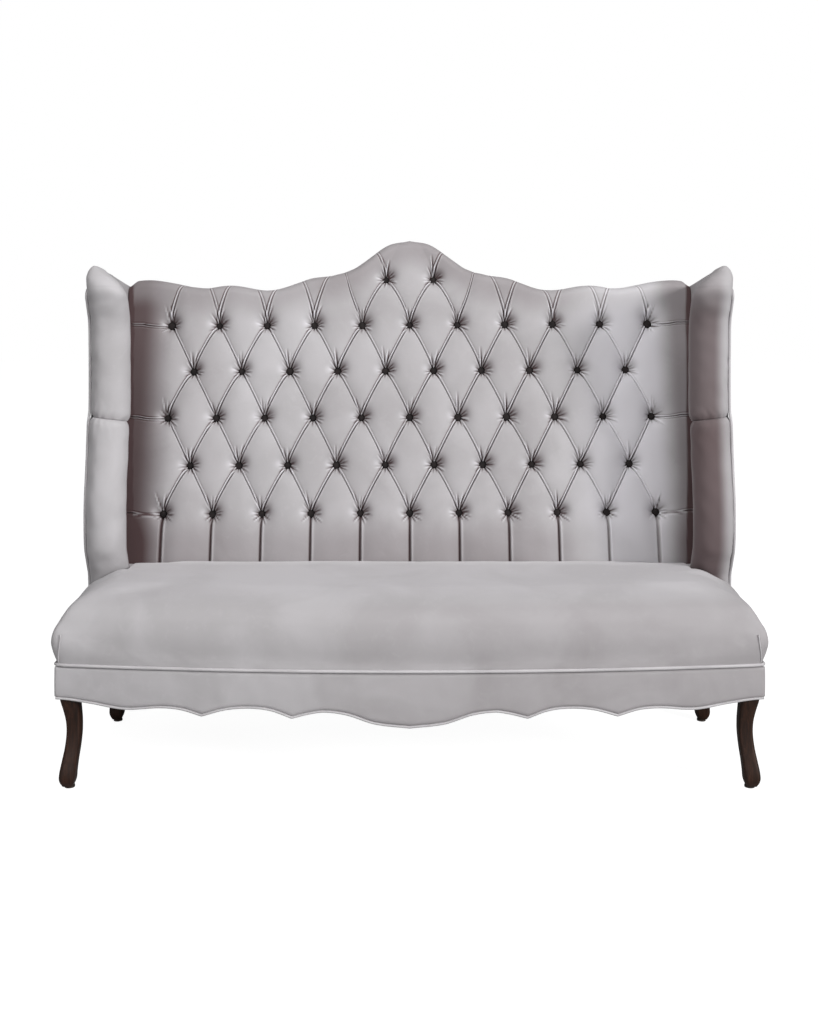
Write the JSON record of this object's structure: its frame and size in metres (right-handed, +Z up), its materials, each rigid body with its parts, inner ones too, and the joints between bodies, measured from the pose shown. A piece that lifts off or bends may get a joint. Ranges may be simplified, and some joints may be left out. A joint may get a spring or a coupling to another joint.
{
  "type": "dining banquette",
  "caption": "High-backed dining banquette in pale grey velvet, with a diamond-tufted back, wings, a scalloped apron and dark carved legs.",
  "frame": {"origin": "on the floor, under the middle of the overall bounding box", "axes": "+X to the right in the front view (the sitter's left), -Y towards the front, +Z up"},
  "size_m": [1.834, 0.8142, 1.44],
  "materials": {
    "velvet": "pale grey velvet, short pile",
    "velvet_welt": "same velvet over piping cord",
    "leg_wood": "dark espresso stain, satin",
    "frame_wood": "raw hardwood and plywood",
    "webbing": "woven jute",
    "lining": "black non-woven lining",
    "steel": "zinc plated",
    "nylon": "natural nylon"
  },
  "bodies": {
    "root": {"inside_back": "velvet", "seat_cushion": "velvet", "front_band": "velvet", "outside_back": "velvet", "side_band_left": "velvet", "side_band_right": "velvet", "lower_wing_pad_left": "velvet", "lower_wing_pad_right": "velvet", "upper_wing_pad_left": "velvet", "upper_wing_pad_right": "velvet", "outside_wing_left": "velvet", "outside_wing_right": "velvet", "seat_welt": "velvet_welt", "apron_welt": "velvet_welt", "wing_welt_left": "velvet_welt", "wing_welt_right": "velvet_welt", "front_leg_left": "leg_wood", "front_leg_right": "leg_wood", "rear_leg_left": "leg_wood", "rear_leg_right": "leg_wood", "front_rail": "frame_wood", "back_rail": "frame_wood", "side_rail_left": "frame_wood", "side_rail_right": "frame_wood", "corner_block_front_left": "frame_wood", "corner_block_front_right": "frame_wood", "corner_block_rear_left": "frame_wood", "corner_block_rear_right": "frame_wood", "seat_stretcher_left": "frame_wood", "seat_stretcher_right": "frame_wood", "back_post_left": "frame_wood", "back_post_right": "frame_wood", "crest_rail": "frame_wood", "lower_back_rail": "frame_wood", "back_stile_left": "frame_wood", "back_stile_right": "frame_wood", "back_board": "frame_wood", "wing_board_left": "frame_wood", "wing_board_right": "frame_wood", "seat_webbing_1": "webbing", "seat_webbing_2": "webbing", "seat_webbing_3": "webbing", "seat_webbing_4": "webbing", "seat_webbing_5": "webbing", "seat_webbing_6": "webbing", "seat_webbing_7": "webbing", "dust_cover": "lining", "leg_bolt_front_left": "steel", "leg_bolt_front_right": "steel", "leg_bolt_rear_left": "steel", "leg_bolt_rear_right": "steel", "glide_front_left": "nylon", "glide_front_right": "nylon", "glide_rear_left": "nylon", "glide_rear_right": "nylon"}
  },
  "joints": []
}
